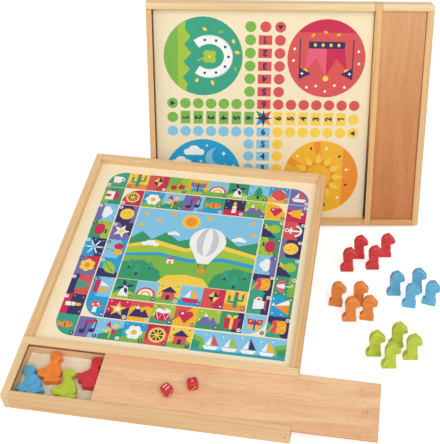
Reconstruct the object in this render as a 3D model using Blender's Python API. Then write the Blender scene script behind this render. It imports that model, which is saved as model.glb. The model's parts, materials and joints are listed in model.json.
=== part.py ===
"""A wooden set of two classic board games, as two boxes and their loose playing pieces.

Both boxes are the same product, made by the same functions. A box is a shallow frame of
rails, open on both faces. One printed board lies half way down, so that either face can be
played on, and past a crossbar the frame holds a tray with a fixed floor and a sliding lid.
The front box shows the race board, tilted up, with its lid pulled part way to the right.
The back box shows the cross board: it stands on its right side, turned a quarter and leaning
back, with the front box's rear edge resting against its face. Sixteen horses stand on the
table, four geese lie in the open tray and two dice lie on the open lid.

Lengths are in millimetres and become metres where a mesh is made. A box has its own frame:
X runs along the tray, Y from the tray to the far rail, Z from the cross board to the race
board, with the origin at the lower outer corner beside the closed end of the tray.
"""

import bmesh
import bpy
from math import ceil, cos, pi, radians, sin
from mathutils import Matrix, Vector

MM = 0.001

# The frame of a box
BOX_WIDTH = 300.0
BOX_DEPTH = 359.0
BOX_HEIGHT = 22.0
SIDE_RAIL = 8.7
BACK_RAIL = 8.7
CROSSBAR = 9.4
FRONT_RAIL = 8.4
END_RAIL = 8.4
TRAY_OPENING = 57.1
CORNER_RADIUS = 2.2
EASED_EDGE = 0.5
GAP = 0.3

# The printed board, in grooves of the side rails and behind a ledge at its two ends
BOARD_THICKNESS = 3.0
BOARD_TONGUE = 3.0
BOARD_LEDGE = 1.8
BOARD_END_GAP = 1.5

# The tray's floor and its lid, which runs in grooves on three sides
FLOOR_THICKNESS = 2.0
FLOOR_INSET = 3.5
FLOOR_GAP = 0.5
LID_THICKNESS = 2.5
LID_BELOW_RIM = 2.7
LID_TONGUE = 4.1
LID_END_TONGUE = 2.0
LID_EASED_EDGE = 0.4
LID_OPEN = 86.6
NOTCH_LENGTH = 4.6
NOTCH_WIDTH = 9.0
NOTCH_DEPTH = 1.3
NOTCH_FROM_END = 14.7

# How the boxes stand on the table
FRONT_TILT = radians(13.45)
BACK_LEAN = radians(11.8)
BACK_TURN = radians(10.0)
BACK_OFFSET = 72.4

# Playing pieces
PIECE_THICKNESS = 8.0
PIECE_EASED_EDGE = 0.8
GOOSE_SCALE = TRAY_OPENING / 60.75
HORSE_BASE = 17.0
HORSE_BASE_HEIGHT = 6.0
DIE_SIZE = 11.2
DIE_RADIUS = 2.9
DIE_SEGMENTS = 3
ARC_STEP = radians(28)
EASED_SEGMENTS = 2

# Heights and faces that follow from the sizes above
LID_TOP = BOX_HEIGHT - LID_BELOW_RIM
LID_BOTTOM = LID_TOP - LID_THICKNESS
FLOOR_TOP = FLOOR_INSET + FLOOR_THICKNESS
BOARD_BOTTOM = (BOX_HEIGHT - BOARD_THICKNESS) / 2
BOARD_TOP = BOARD_BOTTOM + BOARD_THICKNESS
CROSSBAR_FRONT = FRONT_RAIL + TRAY_OPENING
CROSSBAR_BACK = CROSSBAR_FRONT + CROSSBAR
BACK_INNER = BOX_DEPTH - BACK_RAIL
LID_LEFT = END_RAIL - LID_END_TONGUE
LID_LENGTH = BOX_WIDTH - LID_LEFT
LID_FRONT = FRONT_RAIL - LID_TONGUE
LID_DEPTH = TRAY_OPENING + 2 * LID_TONGUE
PAST = 5.0

# Outlines, as (x, y, corner radius), standing on y = 0 and facing +X
HORSE_OUTLINE = [
    (0.0, 0.0, 1.5),
    (HORSE_BASE, 0.0, 1.5),
    (HORSE_BASE - 0.3, HORSE_BASE_HEIGHT, 1.6),
    (HORSE_BASE - 1.8, HORSE_BASE_HEIGHT + 3.4, 2.0),
    (15.3, 14.6, 3.0),
    (14.6, 20.6, 1.0),
    (18.6, 22.0, 1.8),
    (20.4, 24.3, 1.8),
    (19.4, 26.8, 1.8),
    (12.0, 35.0, 2.0),
    (5.0, 32.3, 3.5),
    (2.2, 26.0, 6.0),
    (2.9, 18.0, 8.0),
    (4.0, HORSE_BASE_HEIGHT + 4.4, 1.4),
    (0.3, HORSE_BASE_HEIGHT, 1.6),
]
GOOSE_OUTLINE = [
    (0.5, 0.0, 1.5),
    (19.0, 0.0, 1.5),
    (18.6, 4.2, 1.5),
    (14.9, 5.6, 1.0),
    (18.2, 8.4, 2.4),
    (18.9, 13.6, 4.0),
    (15.3, 22.6, 5.0),
    (13.0, 27.6, 1.0),
    (16.6, 28.2, 1.4),
    (17.8, 30.8, 1.6),
    (14.6, 37.2, 3.0),
    (8.2, 39.2, 4.5),
    (3.0, 36.0, 3.5),
    (4.4, 30.0, 6.0),
    (4.9, 23.2, 3.0),
    (-3.6, 16.9, 3.0),
    (-9.6, 16.4, 1.5),
    (-5.6, 7.2, 3.0),
    (0.8, 6.4, 1.0),
    (0.0, 4.2, 1.5),
]

# Where the loose pieces lie, each with its turn in degrees: geese from the tray's inner
# corner and in their outline's own scale, so that they keep their places in a tray of another
# size, dice from the lid's left end and front edge, horses from the front box's right corner
GEESE = {
    "blue": (17.4, 0.3, 32.3),
    "orange": (29.2, 20.2, 10.4),
    "green": (53.5, 0.5, 15.5),
    "red": (72.8, 20.0, 2.3),
}
DICE = {"die_1": (76.2, 24.6, 55.0), "die_2": (101.1, 35.1, 23.0)}
HORSES = {
    "red": [(37.7, 284.5, 9.8), (50.0, 312.9, 9.8), (69.6, 294.1, 9.8), (84.2, 322.6, 9.8)],
    "blue": [(97.8, 247.4, 9.7), (123.6, 258.0, 0.0), (115.8, 228.0, -3.4), (139.2, 236.9, -12.2)],
    "orange": [(28.0, 215.5, -3.3), (54.4, 220.5, 0.0), (47.0, 191.1, 9.6), (66.6, 196.6, 0.0)],
    "green": [(77.9, 137.4, 9.5), (102.6, 155.5, 9.5), (95.7, 121.5, 9.5), (119.3, 138.7, 9.5)],
}

PAINTS = {
    "red": (0.62, 0.03, 0.04),
    "orange": (0.80, 0.22, 0.03),
    "blue": (0.09, 0.36, 0.62),
    "green": (0.42, 0.53, 0.03),
}


def material(name, colour, roughness):
    """A plain painted or wooden finish."""
    made = bpy.data.materials.new(name)
    made.use_nodes = True
    shader = made.node_tree.nodes["Principled BSDF"]
    shader.inputs["Base Color"].default_value = (*colour, 1.0)
    shader.inputs["Roughness"].default_value = roughness
    shader.inputs["Metallic"].default_value = 0.0
    return made


def mesh_of(name, form):
    """Closes the bmesh's building: faces out, millimetres to metres."""
    bmesh.ops.recalc_face_normals(form, faces=form.faces)
    bmesh.ops.scale(form, vec=(MM, MM, MM), verts=form.verts)
    mesh = bpy.data.meshes.new(name)
    form.to_mesh(mesh)
    form.free()
    return mesh


def rounded(outline):
    """The outline's points, with each corner that has a radius turned into an arc."""
    points = []
    count = len(outline)
    for index, (x, y, radius) in enumerate(outline):
        here = Vector((x, y))
        before = Vector(outline[index - 1][:2]) - here
        after = Vector(outline[(index + 1) % count][:2]) - here
        if radius == 0:
            points.append(here)
            continue
        opening = before.angle(after)
        reach = radius / abs(sin(opening / 2) / cos(opening / 2))
        reach = min(reach, 0.48 * before.length, 0.48 * after.length)
        radius = reach * abs(sin(opening / 2) / cos(opening / 2))
        start = here + reach * before.normalized()
        end = here + reach * after.normalized()
        middle = (before.normalized() + after.normalized()).normalized()
        centre = here + middle * (radius**2 + reach**2) ** 0.5
        steps = max(1, ceil((pi - opening) / ARC_STEP))
        for step in range(steps + 1):
            spoke = (start - centre).lerp(end - centre, step / steps)
            points.append(centre + radius * spoke.normalized())
    return points


def prism(outline, z_low, z_high):
    """A bmesh of the plan outline, raised from z_low to z_high."""
    form = bmesh.new()
    corners = [form.verts.new((x, y, z_low)) for x, y in outline]
    base = form.faces.new(corners)
    raised = bmesh.ops.extrude_face_region(form, geom=[base])["geom"]
    lifted = [item for item in raised if isinstance(item, bmesh.types.BMVert)]
    bmesh.ops.translate(form, vec=(0, 0, z_high - z_low), verts=lifted)
    bmesh.ops.recalc_face_normals(form, faces=form.faces)
    return form


def block(x_low, x_high, y_low, y_high, z_low, z_high):
    plan = [(x_low, y_low), (x_high, y_low), (x_high, y_high), (x_low, y_high)]
    return prism(plan, z_low, z_high)


def ease(form, width, segments, joints=()):
    """Rounds the long edges of a bar, but not those at its joints, given as (axis, place)."""

    def at_joint(edge):
        ends = [vert.co for vert in edge.verts]
        return any(all(abs(end[axis] - place) < 1e-4 for end in ends) for axis, place in joints)

    def level(edge):
        return abs(edge.verts[0].co.z - edge.verts[1].co.z) < 1e-4

    edges = [edge for edge in form.edges if level(edge) and not at_joint(edge)]
    bmesh.ops.bevel(
        form, geom=edges, offset=width, segments=segments, profile=0.5, affect="EDGES", clamp_overlap=True
    )
    return form


def cut_mesh(name, form, cutters):
    """The form's mesh with the cutters' shapes taken out, in the box frame."""
    blank = bpy.data.objects.new(name + "_blank", mesh_of(name + "_blank", form))
    bpy.context.scene.collection.objects.link(blank)
    for cutter in cutters:
        cut = blank.modifiers.new(cutter.name, "BOOLEAN")
        cut.operation = "DIFFERENCE"
        cut.solver = "EXACT"
        cut.object = cutter
    bpy.context.view_layer.update()
    graph = bpy.context.evaluated_depsgraph_get()
    mesh = bpy.data.meshes.new_from_object(blank.evaluated_get(graph))
    mesh.name = name
    bpy.data.objects.remove(blank)
    return mesh


def cutter(name, form):
    """A hidden helper that is taken out of other pieces."""
    helper = bpy.data.objects.new(name, mesh_of(name, form))
    helper.hide_render = True
    helper.display_type = "WIRE"
    bpy.context.scene.collection.objects.link(helper)
    return helper


def lid_slot():
    """The grooves that the lid runs in, open at the right end."""
    return cutter(
        "lid_slot",
        block(
            LID_LEFT - GAP,
            BOX_WIDTH + PAST,
            LID_FRONT - GAP,
            LID_FRONT + LID_DEPTH + GAP,
            LID_BOTTOM - GAP,
            LID_TOP + GAP,
        ),
    )


def board_seat():
    """The grooves that hold the board's edges."""
    return cutter(
        "board_seat",
        block(
            SIDE_RAIL - BOARD_TONGUE - GAP,
            BOX_WIDTH - SIDE_RAIL + BOARD_TONGUE + GAP,
            CROSSBAR_BACK - BOARD_LEDGE,
            BACK_INNER + BOARD_LEDGE,
            BOARD_BOTTOM - GAP,
            BOARD_TOP + GAP,
        ),
    )


def board_recess():
    """The wider opening on the cross board's face, which shows the board's two end gaps."""
    return cutter(
        "board_recess",
        block(
            SIDE_RAIL,
            BOX_WIDTH - SIDE_RAIL,
            CROSSBAR_BACK - BOARD_LEDGE,
            BACK_INNER + BOARD_LEDGE,
            -PAST,
            BOARD_TOP,
        ),
    )


def side_rail_mesh(name, x_low, seat):
    form = block(x_low, x_low + SIDE_RAIL, CROSSBAR_BACK + GAP, BOX_DEPTH, 0, BOX_HEIGHT)
    ease(form, EASED_EDGE, 1, joints=[(1, CROSSBAR_BACK + GAP)])
    return cut_mesh(name, form, [seat])


def back_rail_mesh(seat, recess):
    left = SIDE_RAIL + GAP
    right = BOX_WIDTH - SIDE_RAIL - GAP
    form = block(left, right, BACK_INNER, BOX_DEPTH, 0, BOX_HEIGHT)
    ease(form, EASED_EDGE, 1, joints=[(0, left), (0, right)])
    return cut_mesh("back_rail", form, [seat, recess])


def crossbar_mesh(slot, seat, recess):
    form = block(0, BOX_WIDTH, CROSSBAR_FRONT, CROSSBAR_BACK, 0, BOX_HEIGHT)
    ease(form, EASED_EDGE, 1)
    return cut_mesh("crossbar", form, [slot, seat, recess])


def front_rail_mesh(slot):
    """It butts against the left end rail and runs through to a rounded corner at the right."""
    left = END_RAIL + GAP
    plan = rounded(
        [
            (left, 0, 0),
            (BOX_WIDTH, 0, CORNER_RADIUS),
            (BOX_WIDTH, FRONT_RAIL, 0),
            (left, FRONT_RAIL, 0),
        ]
    )
    form = prism(plan, 0, BOX_HEIGHT)
    ease(form, EASED_EDGE, 1, joints=[(0, left)])
    return cut_mesh("tray_front_rail", form, [slot])


def end_rail_mesh(slot):
    """The tray's closed end, which runs through to a rounded corner at the front."""
    back = CROSSBAR_FRONT - GAP
    plan = rounded([(0, 0, CORNER_RADIUS), (END_RAIL, 0, 0), (END_RAIL, back, 0), (0, back, 0)])
    form = prism(plan, 0, BOX_HEIGHT)
    ease(form, EASED_EDGE, 1, joints=[(1, back)])
    return cut_mesh("tray_end_rail", form, [slot])


def sill_mesh():
    """The low rail under the lid at the tray's open end."""
    front = FRONT_RAIL + GAP
    back = CROSSBAR_FRONT - GAP
    form = block(BOX_WIDTH - END_RAIL, BOX_WIDTH, front, back, 0, LID_BOTTOM - GAP)
    ease(form, EASED_EDGE, 1, joints=[(1, front), (1, back)])
    return mesh_of("tray_sill", form)


def board_mesh():
    tongue = SIDE_RAIL - BOARD_TONGUE
    inset = BOARD_LEDGE - BOARD_END_GAP
    form = block(
        tongue, BOX_WIDTH - tongue, CROSSBAR_BACK - inset, BACK_INNER + inset, BOARD_BOTTOM, BOARD_TOP
    )
    return mesh_of("board", form)


def floor_mesh():
    form = block(
        END_RAIL + FLOOR_GAP,
        BOX_WIDTH - END_RAIL - FLOOR_GAP,
        FRONT_RAIL + FLOOR_GAP,
        CROSSBAR_FRONT - FLOOR_GAP,
        FLOOR_INSET,
        FLOOR_TOP,
    )
    return mesh_of("tray_floor", form)


def lid_mesh():
    """The lid, from its left end and front edge on its upper face, with a finger notch."""
    form = block(0, LID_LENGTH, 0, LID_DEPTH, -LID_THICKNESS, 0)
    ease(form, LID_EASED_EDGE, 1)
    radius = (NOTCH_WIDTH**2 / 4 + NOTCH_DEPTH**2) / (2 * NOTCH_DEPTH)
    wheel = bmesh.new()
    turned = Matrix.Rotation(pi / 2, 4, "Y")
    middle = LID_LENGTH - NOTCH_FROM_END
    placed = Matrix.Translation((middle, LID_DEPTH / 2, radius - NOTCH_DEPTH))
    bmesh.ops.create_cone(
        wheel,
        cap_ends=True,
        segments=48,
        radius1=radius,
        radius2=radius,
        depth=NOTCH_LENGTH,
        matrix=placed @ turned,
    )
    notch = cutter("finger_notch", wheel)
    return cut_mesh("lid", form, [notch])


def piece_mesh(name, outline):
    """A playing piece cut from a board, with rounded edges, lying on z = 0."""
    form = prism(rounded(outline), 0, PIECE_THICKNESS)
    ease(form, PIECE_EASED_EDGE, EASED_SEGMENTS)
    return mesh_of(name, form)


def standing(mesh, name):
    """The same piece stood up on its base, centred on it, with its front face at y = 0."""
    copy = mesh.copy()
    copy.name = name
    upright = Matrix.Rotation(pi / 2, 4, "X")
    copy.transform(Matrix.Translation((-HORSE_BASE / 2 * MM, PIECE_THICKNESS * MM, 0)) @ upright)
    return copy


def die_mesh():
    form = bmesh.new()
    bmesh.ops.create_cube(form, size=DIE_SIZE)
    bmesh.ops.translate(form, vec=(0, 0, DIE_SIZE / 2), verts=form.verts)
    bmesh.ops.bevel(
        form,
        geom=list(form.edges) + list(form.verts),
        offset=DIE_RADIUS,
        segments=DIE_SEGMENTS,
        profile=0.5,
        affect="EDGES",
    )
    return mesh_of("die", form)


def put(name, mesh, finish, parent=None, place=(0, 0, 0), turn=0.0):
    """One node of the model: a named object with its finish, placed under its parent."""
    if not mesh.materials:
        mesh.materials.append(finish)
    mesh.shade_smooth()
    mesh.set_sharp_from_angle(angle=radians(35))
    piece = bpy.data.objects.new(name, mesh)
    bpy.context.scene.collection.objects.link(piece)
    piece.parent = parent
    piece.location = [length * MM for length in place]
    piece.rotation_euler.z = turn
    return piece


def holder(name, matrix, parent=None):
    """An empty that carries pieces, with its translation in millimetres."""
    empty = bpy.data.objects.new(name, None)
    bpy.context.scene.collection.objects.link(empty)
    empty.parent = parent
    place, turn, _ = matrix.decompose()
    empty.location = place * MM
    empty.rotation_mode = "QUATERNION"
    empty.rotation_quaternion = turn
    return empty


def box_meshes():
    """The pieces of one box, each with its finish: both boxes share these meshes."""
    slot = lid_slot()
    seat = board_seat()
    recess = board_recess()
    rail_wood = material("rail_wood", (0.79, 0.50, 0.22), 0.5)
    pale_wood = material("pale_wood", (0.88, 0.66, 0.38), 0.5)
    cream_print = material("cream_print", (0.91, 0.77, 0.52), 0.4)
    floor_wood = material("floor_wood", (0.66, 0.32, 0.13), 0.5)
    lid_wood = material("lid_wood", (0.83, 0.50, 0.26), 0.5)
    return {
        "left_rail": (side_rail_mesh("left_rail", 0, seat), rail_wood),
        "right_rail": (side_rail_mesh("right_rail", BOX_WIDTH - SIDE_RAIL, seat), rail_wood),
        "back_rail": (back_rail_mesh(seat, recess), rail_wood),
        "crossbar": (crossbar_mesh(slot, seat, recess), rail_wood),
        "tray_front_rail": (front_rail_mesh(slot), pale_wood),
        "tray_end_rail": (end_rail_mesh(slot), pale_wood),
        "tray_sill": (sill_mesh(), pale_wood),
        "board": (board_mesh(), cream_print),
        "tray_floor": (floor_mesh(), floor_wood),
        "lid": (lid_mesh(), lid_wood),
    }


def build_box(name, pieces, carrier, lid_pulled):
    """Places one box's pieces under its carrier, and returns its lid."""
    made = {}
    for part, (mesh, finish) in pieces.items():
        place = (LID_LEFT + lid_pulled, LID_FRONT, LID_TOP) if part == "lid" else (0, 0, 0)
        made[part] = put(f"{name}_{part}", mesh, finish, carrier, place)
    return made["lid"]


def front_matrix():
    """The front box lies on its front lower edge, with its far end tilted up."""
    return Matrix.Rotation(FRONT_TILT, 4, "X")


def back_matrix():
    """The back box stands on its right side and leans back, just clear of the front box's
    rear edge, with the cross board's face to the front."""
    quarter = Matrix(((0, -1, 0, BOX_DEPTH), (0, 0, 1, 0), (-1, 0, 0, BOX_WIDTH), (0, 0, 0, 1)))
    stance = Matrix.Rotation(BACK_TURN, 4, "Z") @ Matrix.Rotation(-BACK_LEAN, 4, "X")
    face_out = stance @ Vector((0, -1, 0))
    up_the_face = stance @ Vector((0, 0, 1))
    foot = Vector((BACK_OFFSET, 0, BOX_HEIGHT * sin(BACK_LEAN)))
    rear_edge = front_matrix() @ Vector((0, BOX_DEPTH, 0))
    touching = foot + up_the_face * (rear_edge.z - foot.z) / up_the_face.z
    rear_edge.x = touching.x
    foot.y = (face_out.dot(rear_edge - foot) - GAP) / face_out.y
    return Matrix.Translation(foot) @ stance @ quarter


def build_loose_pieces(front, lid, table):
    """Geese in the tray, dice on the open lid, horses on the table."""
    paints = {name: material(name + "_paint", colour, 0.4) for name, colour in PAINTS.items()}
    goose_outline = [tuple(GOOSE_SCALE * length for length in corner) for corner in GOOSE_OUTLINE]
    goose = piece_mesh("goose", goose_outline)
    for colour, (x, y, turn) in GEESE.items():
        mesh = goose.copy()
        place = (END_RAIL + GOOSE_SCALE * x, FRONT_RAIL + GOOSE_SCALE * y, FLOOR_TOP + GAP)
        put(f"goose_{colour}", mesh, paints[colour], front, place, radians(turn))
    die_red = material("die_red", (0.60, 0.02, 0.03), 0.25)
    die = die_mesh()
    for name, (x, y, turn) in DICE.items():
        put(name, die, die_red, lid, (x, y, GAP), radians(turn))
    flat = piece_mesh("horse", HORSE_OUTLINE)
    for colour, places in HORSES.items():
        horse = standing(flat, "horse_" + colour)
        for number, (x, y, turn) in enumerate(places, 1):
            place = (BOX_WIDTH + x, y, 0)
            put(f"horse_{colour}_{number}", horse, paints[colour], table, place, radians(turn))


def centre_on_origin(table):
    """Moves the whole set so that its box stands centred on the origin, at z = 0."""
    bpy.context.view_layer.update()
    corners = [
        piece.matrix_world @ vert.co
        for piece in bpy.context.scene.objects
        if piece.type == "MESH" and not piece.hide_render
        for vert in piece.data.vertices
    ]
    lows = [min(corner[axis] for corner in corners) for axis in range(3)]
    highs = [max(corner[axis] for corner in corners) for axis in range(3)]
    table.location = (-(lows[0] + highs[0]) / 2, -(lows[1] + highs[1]) / 2, -lows[2])


def main():
    for leftover in list(bpy.data.objects):
        bpy.data.objects.remove(leftover, do_unlink=True)
    table = holder("table", Matrix.Identity(4))
    front = holder("front_box", front_matrix(), table)
    back = holder("back_box", back_matrix(), table)
    pieces = box_meshes()
    front_lid = build_box("front_box", pieces, front, LID_OPEN)
    build_box("back_box", pieces, back, 0)
    build_loose_pieces(front, front_lid, table)
    centre_on_origin(table)


main()
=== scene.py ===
"""Looks of a wooden set of two classic board games, as two framed boxes with their loose pieces.

The solids keep the shapes that they come with. This script gives them wood, paint and plastic,
and adds what is printed or marked on them: a race track of numbered squares on one face of each
box's board, a cross and circle game on the other, pips on the dice and a nail mark on the front
rail. It also paints shade: dark lines along the walls of the lids' finger notches, and a dark
wedge for the shadow in the gap beside the cross board. Prints, marks and painted shade are thin
layers of ink that lie on a solid's face.
"""

import json
from math import cos, pi, radians, sin

import bpy
from mathutils import Matrix, Vector

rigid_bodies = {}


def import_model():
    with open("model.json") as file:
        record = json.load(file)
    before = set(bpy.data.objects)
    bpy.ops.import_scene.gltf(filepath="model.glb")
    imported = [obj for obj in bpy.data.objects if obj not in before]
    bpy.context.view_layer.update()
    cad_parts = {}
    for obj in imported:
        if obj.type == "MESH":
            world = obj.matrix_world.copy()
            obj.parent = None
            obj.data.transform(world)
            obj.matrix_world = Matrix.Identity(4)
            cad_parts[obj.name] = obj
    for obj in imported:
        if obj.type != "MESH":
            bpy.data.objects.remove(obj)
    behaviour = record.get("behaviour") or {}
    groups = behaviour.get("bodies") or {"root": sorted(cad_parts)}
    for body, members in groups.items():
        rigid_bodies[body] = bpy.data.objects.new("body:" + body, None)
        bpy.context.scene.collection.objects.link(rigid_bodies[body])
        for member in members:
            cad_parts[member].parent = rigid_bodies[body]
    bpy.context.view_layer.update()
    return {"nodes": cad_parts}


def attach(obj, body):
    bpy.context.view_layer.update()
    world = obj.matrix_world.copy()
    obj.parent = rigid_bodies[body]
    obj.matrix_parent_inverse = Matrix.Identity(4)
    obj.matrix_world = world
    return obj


MM = 0.001

# Sizes of the solid model that the looks follow, in millimetres
BOX_WIDTH = 300.0
BOX_DEPTH = 359.0
BOX_HEIGHT = 22.0
BACK_INNER = 350.3
CROSSBAR_WALL = 73.1
BOARD_BOTTOM = 9.5
BOARD_TOP = 12.5
LID_LEFT = 6.4
LID_FRONT = 4.3
LID_BACK = 69.6
LID_BOTTOM = 16.8
LID_TOP = 19.3
LID_OPEN = 86.6
GAP = 0.3
DIE_SIZE = 11.2
DICE = {"die_1": (76.2, 24.6, 55.0), "die_2": (101.1, 35.1, 23.0)}
NOTCH_PLACE = (371.9, 36.95)
NOTCH_DEPTH = 1.3
NAIL_PLACE = (BOX_WIDTH - 5.2, 0, 12.0)

# How the boxes stand
FRONT_TILT = radians(13.45)
BACK_LEAN = radians(11.8)
BACK_TURN = radians(10.0)
BACK_OFFSET = 72.4
TABLE_SHIFT = (-226.05, -235.898, 0.0)

# The camera of the photograph, in pixels of a picture 440 wide and 444 high
FOCAL_PIXELS = 879.0
PICTURE_HEIGHT = 444.0
SENSOR_WIDTH = 36.0
OFF_CENTRE = (51.6, -48.7)
CAMERA_PLACE = (351.3, -598.8, 701.9)
CAMERA_PITCH = radians(32.37)
CAMERA_YAW = radians(7.33)
CAMERA_ROLL = radians(1.54)

INK_STEP = 0.04

# Colours as written on screen, from 0 to 255
COLOURS = {
    "white": (250, 250, 246),
    "navy": (44, 36, 92),
    "purple": (118, 108, 172),
    "blue": (30, 162, 214),
    "sky": (134, 202, 236),
    "teal": (52, 163, 131),
    "green": (46, 151, 105),
    "lime": (166, 200, 62),
    "leaf": (124, 184, 72),
    "yellow": (252, 212, 74),
    "amber": (250, 186, 44),
    "orange": (244, 148, 46),
    "coral": (219, 84, 84),
    "crimson": (204, 38, 80),
    "pink": (232, 96, 122),
    "grey": (206, 208, 220),
    "pip": (248, 208, 206),
    # Painted shade along the walls of the lids' finger notches
    "groove": (192, 122, 78),
    # Painted shadow for the gap beside the cross board
    "gap": (48, 38, 24),
}


def linear(colour):
    """A written colour as the linear one that a shader takes."""
    shares = [part / 255 for part in colour]
    return tuple(part / 12.92 if part <= 0.04045 else ((part + 0.055) / 1.055) ** 2.4 for part in shares)


def around(radius, degrees):
    """The point at so many degrees on a circle about the origin."""
    angle = radians(degrees)
    return radius * cos(angle), radius * sin(angle)


def new_object(name, data):
    made = bpy.data.objects.new(name, data)
    bpy.context.scene.collection.objects.link(made)
    return made


# Where things stand


def front_matrix():
    return Matrix.Translation(Vector(TABLE_SHIFT)) @ Matrix.Rotation(FRONT_TILT, 4, "X")


def back_matrix():
    """The back box's frame, as the solid model places it."""
    quarter = Matrix(((0, -1, 0, BOX_DEPTH), (0, 0, 1, 0), (-1, 0, 0, BOX_WIDTH), (0, 0, 0, 1)))
    stance = Matrix.Rotation(BACK_TURN, 4, "Z") @ Matrix.Rotation(-BACK_LEAN, 4, "X")
    face_out = stance @ Vector((0, -1, 0))
    up_the_face = stance @ Vector((0, 0, 1))
    foot = Vector((BACK_OFFSET, 0, BOX_HEIGHT * sin(BACK_LEAN)))
    rear_edge = Matrix.Rotation(FRONT_TILT, 4, "X") @ Vector((0, BOX_DEPTH, 0))
    touching = foot + up_the_face * (rear_edge.z - foot.z) / up_the_face.z
    rear_edge.x = touching.x
    foot.y = (face_out.dot(rear_edge - foot) - GAP) / face_out.y
    return Matrix.Translation(Vector(TABLE_SHIFT)) @ Matrix.Translation(foot) @ stance @ quarter


def cross_side_matrix(box):
    """The board's face with the cross game, right and up as the picture shows it."""
    under = Matrix(((0, -1, 0, BOX_WIDTH), (-1, 0, 0, BOX_DEPTH), (0, 0, -1, BOARD_BOTTOM), (0, 0, 0, 1)))
    return box @ under


def cross_face_matrix(box):
    """The cross print's place on its side of the board, where it sits a little turned."""
    x, y = CROSS_CENTRE
    about = Matrix.Translation((x - CROSS_SHIFT, y, 0)) @ Matrix.Rotation(CROSS_TURN, 4, "Z")
    return cross_side_matrix(box) @ about @ Matrix.Translation((-x, -y, 0))


def die_matrix(name):
    x, y, turn = DICE[name]
    place = Vector((LID_LEFT + LID_OPEN + x, LID_FRONT + y, LID_TOP + GAP))
    return front_matrix() @ Matrix.Translation(place) @ Matrix.Rotation(radians(turn), 4, "Z")


# Materials

# A tone or a stretch that changes nothing
UNCHANGED = (1.0, 1.0, 1.0)


def fill(node, **values):
    """Sets a node's own sockets, with underscores for the spaces in their names."""
    for name, value in values.items():
        node.inputs[name.replace("_", " ")].default_value = value


class Nodes:
    """Short names for building the nodes of a new material, or of the world."""

    def __init__(self, name, world=None):
        self.owner = world or bpy.data.materials.new(name)
        self.owner.use_nodes = True
        self.tree = self.owner.node_tree
        self.shader = self.tree.nodes["Background" if world else "Principled BSDF"]

    def add(self, kind, **values):
        node = self.tree.nodes.new("ShaderNode" + kind)
        for name, value in values.items():
            setattr(node, name, value)
        return node

    def join(self, source, target):
        self.tree.links.new(source, target)

    def set(self, **values):
        fill(self.shader, **values)

    def paint(self, colour):
        self.join(colour, self.shader.inputs["Base Color"])

    def place(self, matrix, stretch=UNCHANGED, shift=(0, 0, 0)):
        """Coordinates in a box's own frame, stretched along the grain."""
        home = matrix.copy()
        home.translation *= MM
        home.invert()
        framed = self.add("Mapping")
        fill(framed, Location=home.translation, Rotation=home.to_euler())
        self.join(self.add("TexCoord").outputs["Object"], framed.inputs["Vector"])
        scaled = self.add("Mapping")
        fill(scaled, Location=shift, Scale=stretch)
        self.join(framed.outputs["Vector"], scaled.inputs["Vector"])
        return scaled.outputs["Vector"]

    def noise(self, vector, scale, detail, roughness, distortion=0.0):
        noise = self.add("TexNoise")
        fill(noise, Scale=scale, Detail=detail, Roughness=roughness, Distortion=distortion)
        self.join(vector, noise.inputs["Vector"])
        return noise.outputs["Fac"]

    def ramp(self, factor, *stops):
        ramp = self.add("ValToRGB")
        elements = ramp.color_ramp.elements
        while len(elements) < len(stops):
            elements.new(0.5)
        for element, (position, colour) in zip(elements, stops):
            element.position = position
            element.color = (*colour, 1.0)
        self.join(factor, ramp.inputs["Fac"])
        return ramp.outputs["Color"]

    def multiply(self, share, colour, tone):
        """The colour times a tone, as far as the share says."""
        mix = self.add("Mix", data_type="RGBA", blend_type="MULTIPLY")
        fill(mix, Factor=share)
        self.join(colour, mix.inputs["A"])
        self.join(tone, mix.inputs["B"])
        return mix.outputs["Result"]

    def bump(self, height, strength, distance):
        bump = self.add("Bump")
        fill(bump, Strength=strength, Distance=distance)
        self.join(height, bump.inputs["Height"])
        self.join(bump.outputs["Normal"], self.shader.inputs["Normal"])

    def spread(self, source, **limits):
        """A number brought from one pair of limits to another, each 0 and 1 unless given."""
        spread = self.add("MapRange")
        fill(spread, **limits)
        self.join(source, spread.inputs["Value"])
        return spread.outputs["Result"]


def shade(colour, factor):
    return tuple(min(1.0, part * factor) for part in colour)


def tinted(colour, red, green, blue):
    return colour[0] * red, colour[1] * green, colour[2] * blue


def solid_wood(name, colour, matrix, along, seed):
    """Pale close-grained wood, with the grain along the box's axis named."""
    nodes = Nodes(name)
    base = linear(colour)
    stretch = [1.0, 1.0, 1.0]
    stretch["xyz".index(along)] = 0.035
    vector = nodes.place(matrix, stretch, (0.37 * seed, 0.21 * seed, 0.13 * seed))
    fibres = nodes.noise(vector, 520.0, 4.0, 0.6)
    bands = nodes.noise(vector, 130.0, 2.0, 0.5, 0.2)
    slow = nodes.noise(vector, 24.0, 2.0, 0.5)
    dark = tinted(base, 0.93, 0.86, 0.78)
    body = nodes.ramp(bands, (0.34, dark), (0.50, base), (0.68, shade(base, 1.05)))
    fine = nodes.ramp(fibres, (0.36, (0.90, 0.85, 0.79)), (0.54, UNCHANGED))
    drift = nodes.ramp(slow, (0.35, (0.95, 0.92, 0.88)), (0.62, UNCHANGED))
    nodes.paint(nodes.multiply(0.8, nodes.multiply(0.6, body, fine), drift))
    nodes.bump(fibres, 0.12, 0.0002)
    nodes.set(Roughness=0.48, Specular_IOR_Level=0.35)
    return nodes.owner


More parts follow.
